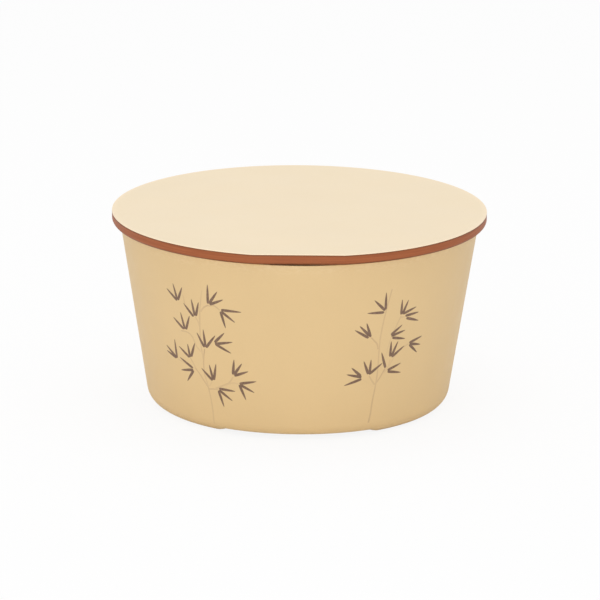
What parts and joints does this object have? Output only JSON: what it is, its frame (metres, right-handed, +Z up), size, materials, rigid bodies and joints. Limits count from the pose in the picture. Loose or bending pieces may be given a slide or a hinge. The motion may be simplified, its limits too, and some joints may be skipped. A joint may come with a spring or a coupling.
{
  "type": "rice tub",
  "caption": "Round tapered rice tub with an insulated wall, a raised foot with finger recesses, and a flat laminated lid board that lifts straight off.",
  "frame": {"origin": "on the tub's axis at the floor, in the middle of the foot; the lid's flat puts the middle of the bounding box 2.9 mm behind the axis", "axes": "+Z up along the tub's axis, -Y the front, which is the side with the lid's flat, +X to the right seen from the front"},
  "size_m": [0.4, 0.3941, 0.2095],
  "materials": {
    "shell_plastic": "satin beige plastic with a dull, fine-grained surface",
    "plug_plastic": "plain moulded plastic",
    "wall_foam": "rigid closed-cell foam, hidden",
    "liner_plastic": "smooth cream food-grade plastic",
    "lid_underside_plastic": "smooth cream plastic",
    "lid_foam": "rigid foam board, hidden",
    "brown_band_plastic": "satin reddish brown plastic edging",
    "lid_cream_plastic": "dull pale cream plastic sheet",
    "lid_ring_plastic": "smooth cream plastic"
  },
  "bodies": {
    "tub": {"outer_shell": "shell_plastic", "foam_fill_plug": "plug_plastic", "insulation_cup": "wall_foam", "inner_liner": "liner_plastic"},
    "lid": {"lid_bottom_sheet": "lid_underside_plastic", "lid_core": "lid_foam", "lid_edge_band": "brown_band_plastic", "lid_top_sheet": "lid_cream_plastic", "lid_locating_ring": "lid_ring_plastic"}
  },
  "joints": [
    {"name": "lid_lift", "type": "slide", "parent": "tub", "child": "lid", "axis": [0, 0, 1], "range_m": [0, 0.25]}
  ]
}
